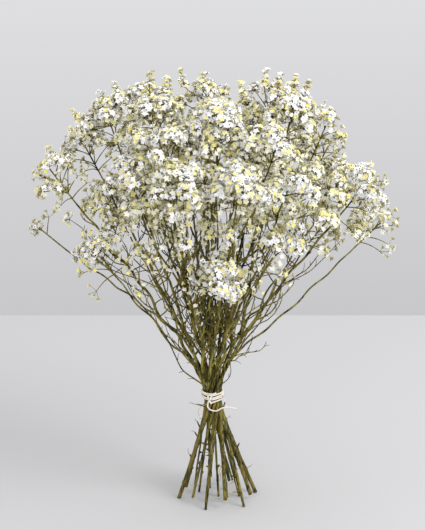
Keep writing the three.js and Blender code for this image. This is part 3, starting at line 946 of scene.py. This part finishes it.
# Twigs that stray from the stalks, in millimetres from the tie's axis, each from its stalk to its tip
FLOWERING_STRAYS = [
    [(-10, -8, 136), (-22, -13, 150), (-35, -18, 161), (-44, -22, 184), (-52, -24, 203), (-64, -28, 224),
     (-77, -31, 239), (-88, -34, 254), (-94, -36, 266), (-99, -38, 282), (-109, -40, 290), (-120, -42, 299)],
    [(-28, -20, 224), (-41, -26, 244), (-55, -30, 259), (-68, -34, 268), (-83, -37, 275), (-97, -40, 280),
     (-111, -44, 287), (-123, -46, 294), (-134, -49, 304)],
    [(-70, -34, 269), (-81, -37, 283), (-92, -40, 293), (-106, -44, 303), (-115, -48, 315)],
    [(17, -6, 165), (26, -9, 176), (36, -14, 195), (46, -18, 208), (55, -20, 220), (66, -26, 242),
     (77, -30, 265), (92, -32, 273), (108, -34, 282), (121, -36, 296), (134, -38, 311)],
    [(52, -20, 217), (64, -23, 229), (73, -26, 242), (76, -28, 257), (78, -31, 273), (84, -33, 289),
     (96, -36, 302), (108, -38, 312), (120, -40, 314), (132, -42, 321)],
    [(-19, -36, 273), (-25, -44, 296), (-31, -50, 318)],
    [(-9, -38, 274), (-7, -47, 302), (-5, -54, 328)],
    [(3, -36, 243), (10, -45, 267), (15, -51, 291)],
    [(-6, -36, 236), (-10, -44, 256), (-13, -49, 270)],
    [(12, -38, 244), (23, -46, 258), (29, -51, 273)],
    [(14, -30, 298), (12, -42, 320), (10, -50, 338)],
    [(22, -28, 288), (27, -40, 310), (31, -48, 330)],
]
# Broader ones, where the crown would else show its far side
BROAD_STRAYS = [
    [(28, -30, 382), (32, -50, 402), (34, -68, 416)],
    [(-6, -42, 356), (-7, -60, 376), (-8, -74, 390)],
    [(-62, -32, 338), (-72, -48, 358), (-79, -60, 370)],
    [(-88, -22, 328), (-102, -34, 346), (-112, -42, 358)],
    [(-16, -26, 398), (-22, -48, 418), (-24, -66, 432)],
    [(-80, -30, 290), (-94, -36, 310), (-103, -40, 324)],
]
# Those that stand proud of the crown's outline
PEAK_STRAYS = [
    [(-71, -12, 469), (-69, -14, 485), (-67, -15, 497)],
    [(-29, 12, 463), (-31, 10, 480), (-34, 9, 495)],
    [(-18, 2, 462), (-13, 0, 480), (-9, -2, 493)],
    [(53, 8, 461), (57, 6, 479), (59, 5, 496)],
    [(87, -6, 466), (89, -6, 481), (91, -7, 494)],
    [(95, -2, 460), (100, -3, 474), (104, -4, 486)],
    [(43, 4, 453), (36, 2, 470), (31, 1, 483)],
    [(-128, -26, 434), (-140, -30, 438), (-149, -33, 441)],
    [(-132, -26, 436), (-138, -28, 443), (-142, -30, 447)],
    [(-171, -42, 385), (-183, -45, 391), (-190, -47, 396)],
    [(151, -18, 390), (162, -21, 396), (169, -23, 400)],
    [(127, -12, 420), (136, -14, 427), (142, -16, 431)],
    [(118, -8, 444), (125, -9, 449), (130, -10, 453)],
    [(173, -30, 336), (184, -33, 341), (191, -35, 346)],
    [(149, -28, 338), (155, -31, 328), (158, -33, 321)],
    [(-98, -10, 448), (-112, -12, 464), (-120, -14, 476)],
    [(-92, -4, 458), (-100, -4, 472), (-106, -5, 484)],
    [(-46, 8, 462), (-49, 8, 476), (-50, 8, 488)],
    [(-128, -16, 440), (-140, -18, 449), (-148, -19, 457)],
    [(-160, -30, 400), (-168, -32, 409), (-176, -34, 417)],
    [(66, 2, 464), (70, 0, 480), (74, -2, 493)],
]
BARE_STRAYS = [
    [(-14, -8, 154), (-26, -12, 169), (-36, -15, 182), (-40, -17, 195), (-36, -19, 207), (-28, -20, 216)],
    [(-19, -14, 191), (-29, -18, 202), (-42, -22, 212), (-55, -28, 219), (-64, -30, 231), (-72, -32, 245),
     (-78, -36, 262), (-82, -38, 277), (-80, -40, 293)],
    [(18, -8, 169), (26, -11, 177), (34, -14, 180), (43, -17, 183), (51, -19, 183), (58, -20, 187),
     (61, -20, 196)],
    [(11, -8, 140), (18, -11, 147), (22, -12, 156), (21, -11, 164), (16, -9, 173)],
    [(26, -6, 186), (37, -12, 212), (44, -16, 232), (48, -20, 250), (50, -22, 267), (56, -24, 281)],
    [(-32, -26, 247), (-26, -31, 238), (-17, -34, 230), (-6, -35, 222), (3, -35, 218), (12, -34, 218)],
    [(-11, -38, 251), (-6, -42, 246), (1, -43, 243), (9, -43, 244), (16, -42, 247), (22, -40, 252),
     (28, -38, 260)],
    [(18, -14, 87), (22, -14, 78), (27, -16, 67), (32, -17, 56), (37, -17, 45)],
]
# Dry straw-coloured threads that curl away from the stalks, near the feet and at the tie
CURLS = [
    [(-19, -10, 17), (-23, -14, 12), (-24, -16, 7), (-23, -17, 2)],
    [(23, -4, 17), (18, -8, 15), (10, -12, 13), (7, -14, 9)],
    [(23, -6, 6), (19, -10, 3), (14, -13, 7), (9, -15, 2), (5, -18, 5), (1, -20, 2)],
    [(24, -8, 22), (28, -10, 18), (29, -12, 14)],
    [(-10, -12, 116), (-15, -14, 114), (-17, -15, 109), (-15, -14, 104)],
    [(10, -16, 46), (8, -20, 40), (10, -20, 32), (7, -18, 24)],
]


class STATICE_OT_stage(bpy.types.Operator):
    """Sets the camera, a plain pale floor and soft studio light"""

    bl_idname = "statice.stage"
    bl_label = "Camera, floor and light"

    def execute(self, context):
        scene = context.scene
        # the camera looks down a little at the middle of the bunch
        elevation = math.radians(15.5)
        distance = 1.9
        aim_height = 0.2805
        camera = bpy.data.cameras.new("camera")
        camera.lens = 114.2
        eye = bpy.data.objects.new("camera", camera)
        scene.collection.objects.link(eye)
        axis = tie_axis() * MM
        back, rise = distance * math.cos(elevation), distance * math.sin(elevation)
        eye.location = (axis[0], axis[1] - back, aim_height + rise)
        eye.rotation_euler = (math.pi / 2 - elevation, 0, 0)
        scene.camera = eye
        bpy.ops.object.select_all(action="DESELECT")
        bpy.ops.mesh.primitive_plane_add(size=1)
        floor = context.object
        floor.name = "floor"
        # its far edge shows a little below the middle of the picture
        floor.scale = (6, 1.42, 1)
        bpy.ops.object.transform_apply(scale=True)
        material, tree, shader = new_material("floor, painted board")
        fill(tree, shader, {"Base Color": scene.statice_colours.floor, "Roughness": 0.9})
        floor.data.materials.append(material)
        scene.world = bpy.data.worlds.new("studio")
        scene.world.use_nodes = True
        tree = scene.world.node_tree
        # the wall darkens towards the floor's far edge
        direction = add(tree, "TexCoord", {}, "Generated")
        height = add(tree, "SeparateXYZ", {"Vector": direction}, "Z")
        wall = add(tree, "MapRange", {0: height, 1: -0.3, 2: -0.12})
        shade = add(tree, "Mix", {0: wall, 6: linear("#c7c7c9"), 7: linear("#dedee0")}, 2, data_type="RGBA")
        # a bright ceiling above the picture
        ceiling = add(tree, "MapRange", {0: height, 1: 0.05, 2: 0.4})
        bright = (1.17, 1.17, 1.17, 1.0)
        studio = add(tree, "Mix", {0: ceiling, 6: shade, 7: bright}, 2, data_type="RGBA")
        fill(tree, tree.nodes["Background"], {"Color": studio})
        for name, place, size, power in (
            ("key light", (1.5, -0.95, 1.65), 1.3, 35),
            ("fill light", (-0.2, -3.3, 1.15), 3.0, 25),
        ):
            lamp = bpy.data.lights.new(name, "AREA")
            lamp.size = size
            lamp.energy = power
            light = bpy.data.objects.new(name, lamp)
            light.location = place
            light.rotation_euler = (Vector((0, 0, 0.3)) - Vector(place)).to_track_quat("-Z", "Y").to_euler()
            scene.collection.objects.link(light)
        scene.view_settings.view_transform = "Standard"
        return {"FINISHED"}


class STATICE_OT_loose_end(bpy.types.Operator):
    """Adds the loose end of the twine, twisted of three plies along its route"""

    bl_idname = "statice.loose_end"
    bl_label = "Loose end of the twine"

    def execute(self, context):
        route = resampled(np.array(LOOSE_END_ROUTE) / MM + tie_axis(), TWINE_SPACING)
        # its radius is half of the cord's thickness
        points, faces, _ = swept(twisted(route, 0.95))
        replaced = ["twine_end"]
        piece = add_piece("loose_end", points, faces, {}, cotton_twine(), replaced, True)
        return {"FINISHED"}


class STATICE_OT_tie(bpy.types.Operator):
    """Adds the twine's turns round the stalks and its knot"""

    bl_idname = "statice.tie"
    bl_label = "Tie and knot"

    def execute(self, context):
        radius = context.scene.statice_sizes.strand_radius / MM
        t = np.linspace(0, 1, 190)
        turn = KNOT_TURN + t * TWINE_TURNS * FULL_TURN
        out = TWINE_WRAP_RADIUS + 0.25 * np.sin(7 * turn)
        climb = (t - 0.5) * TWINE_TURNS * TWINE_CLIMB
        # the turns sag at the knot
        sag = 1.6 * np.maximum(0, np.cos(turn - KNOT_TURN)) ** 3
        height = TIE_HEIGHT + 3 + climb - sag + 0.5 * np.sin(turn * 0.5)
        rods = twisted(round_tie(out, turn, height), radius)
        # the knot is two strands that cross, one over the other
        for sign in (-1, 1):
            reach = np.linspace(-1, 1, 15)
            proud = 2.4 * np.sqrt(1 - np.abs(reach) ** 3) + (0.9 if sign > 0 else 0) * (1 - reach**2)
            turn = KNOT_TURN + sign * reach * 0.16
            rods += twisted(round_tie(TWINE_WRAP_RADIUS + proud, turn, TIE_HEIGHT - 1 + reach * 4.4), radius)
        # a tuft of frayed fibres
        rng = np.random.default_rng([SEED, 0])
        for _ in range(9):
            turn = rng.uniform(-0.55, -0.3)
            way = np.array([math.cos(turn), math.sin(turn), 0])
            start = tie_axis() + way * (TWINE_WRAP_RADIUS + 0.6) + UP * (TIE_HEIGHT + rng.uniform(-1, 3))
            end = start + way * rng.uniform(2.5, 5) + UP * rng.uniform(-3, 4) + rng.normal(0, 0.8, 3)
            rods.append((arched(start, end, way, 5), np.linspace(0.35, 0.15, 6), 4, 0.0))
        points, faces, _ = swept(rods)
        add_piece("tie", points, faces, {}, cotton_twine(), ["twine"], True)
        return {"FINISHED"}


class STATICE_OT_stalks(bpy.types.Operator):
    """Adds each stem's stalk, side branch, twigs and pedicels, with nodes, bracts and stubs"""

    bl_idname = "statice.stalks"
    bl_label = "Stalks and twigs"

    def execute(self, context):
        bark = dried_stalk_bark()
        bract = model_bract()
        # the user may have changed a size
        grown_stem.cache_clear()
        for number in STEMS:
            growth = grown_stem(number)
            points, faces, ages = swept(growth.rods)
            # the cut ends that stand are level with the floor
            points[:, 2] = np.maximum(points[:, 2], 0)
            feet, facings, size = (np.array(values) for values in zip(*growth.bracts))
            # a bract is flatter than it is wide
            unturned, squash = np.zeros(len(feet)), np.full(len(feet), 0.6)
            scales = stamped(bract, feet, facings, size, unturned, squash)
            points, faces = joined((points, faces), scales)
            marks = {"age": np.append(ages, np.ones(len(scales[0])))}
            replaced = [f"stem_{number:02}", *spray_nodes(number)]
            add_piece(f"stalk_{number:02}", points, faces, marks, bark, replaced, True)
        return {"FINISHED"}


class STATICE_OT_florets(bpy.types.Operator):
    """Adds each stem's papery calyces, lemon corollas and withered centres"""

    bl_idname = "statice.florets"
    bl_label = "Florets"

    def execute(self, context):
        sizes = context.scene.statice_sizes
        calyx, corolla, centre = model_calyx(sizes), model_corolla(sizes), model_centre(sizes)
        tall = sizes.calyx_height / MM
        outline = calyx[0]
        # a calyx is white inside, down to the middle
        at_middle = (np.hypot(*outline[:, :2].T) < 0.1) & (outline[:, 2] > 0.3 * tall)
        rises = np.where(at_middle, 1, outline[:, 2] / tall)
        rng = np.random.default_rng([SEED, len(STEMS) + 1])
        grown = [[np.array(values) for values in zip(*grown_stem(number).florets)] for number in STEMS]
        depths = crown_depths(np.concatenate([feet for feet, *_ in grown]))
        ends = np.cumsum([len(feet) for feet, *_ in grown])
        for number, florets, depth in zip(STEMS, grown, np.split(depths, ends[:-1])):
            feet, facings, size, turns, squash, tones, states = florets
            points, faces = stamped(calyx, feet, facings, size, turns, squash)
            lift = np.tile(rises, len(feet))
            # the rims are ruffled
            rims = lift > 0.85
            points[rims] += rng.normal(0, 0.35, (np.count_nonzero(rims), 3))
            # painted shade: those on the crown's underside and in its gaps are olive for more of their length
            lift *= np.repeat(np.where([sparse(foot) for foot in feet], 0.8, 1), len(outline))
            # painted shade: the deeper ones in the crown get a creamy tint, and some others get it by their
            # random tone
            cream_and_shade = MOST_CREAM_AND_SHADE * np.clip(depth / CREAM_SHADE_DEPTH + tones - 0.6, 0, 1)
            marks = {"cream_and_shade": np.repeat(cream_and_shade, len(outline)), "lift": lift}
            replaced = spray_nodes(number)
            add_piece(f"calyces_{number:02}", points, faces, marks, papery_calyx(), replaced)
            parts, marks = [], {"tone": [], "withered": []}
            for shape, state, seat in ((corolla, "open", 0.78), (centre, "withered", 0.6)):
                mine = states == state
                inside = feet[mine] + unit(facings[mine]) * (seat * tall * size[mine])[:, None]
                azimuths = turns[mine] + 0.6
                parts.append(stamped(shape, inside, facings[mine], size[mine], azimuths, squash[mine]))
                marks["tone"] = np.append(marks["tone"], np.repeat(tones[mine], len(shape[0])))
                brown = np.full(len(shape[0]) * len(inside), state == "withered")
                marks["withered"] = np.append(marks["withered"], brown)
            points, faces = joined(*parts)
            add_piece(f"corollas_{number:02}", points, faces, marks, lemon_corolla(), replaced)
        return {"FINISHED"}


OPERATORS = [
    STATICE_OT_stage, STATICE_OT_loose_end, STATICE_OT_tie, STATICE_OT_stalks, STATICE_OT_florets,
]


class STATICE_PT_panel(bpy.types.Panel):
    """Lists the steps and the sizes and colours they use"""

    bl_idname = "STATICE_PT_panel"
    bl_label = "Dried statice bunch"
    bl_space_type = "VIEW_3D"
    bl_region_type = "UI"
    bl_category = "Statice"

    def draw(self, context):
        for operator in OPERATORS:
            self.layout.operator(operator.bl_idname)
        for group in (context.scene.statice_sizes, context.scene.statice_colours):
            for name in group.__annotations__:
                self.layout.prop(group, name)


CLASSES = [StaticeSizes, StaticeColours, *OPERATORS, STATICE_PT_panel]


def register():
    """Adds the classes, the sizes and the colours."""
    for made in CLASSES:
        bpy.utils.register_class(made)
    bpy.types.Scene.statice_sizes = bpy.props.PointerProperty(type=StaticeSizes)
    bpy.types.Scene.statice_colours = bpy.props.PointerProperty(type=StaticeColours)


def unregister():
    """Takes them out again."""
    del bpy.types.Scene.statice_sizes
    del bpy.types.Scene.statice_colours
    for made in reversed(CLASSES):
        bpy.utils.unregister_class(made)


def main():
    """Dresses the bunch step by step."""
    register()
    bpy.ops.statice.stage()
    bpy.ops.statice.loose_end()
    bpy.ops.statice.tie()
    bpy.ops.statice.stalks()
    bpy.ops.statice.florets()


if __name__ == "__main__":
    main()
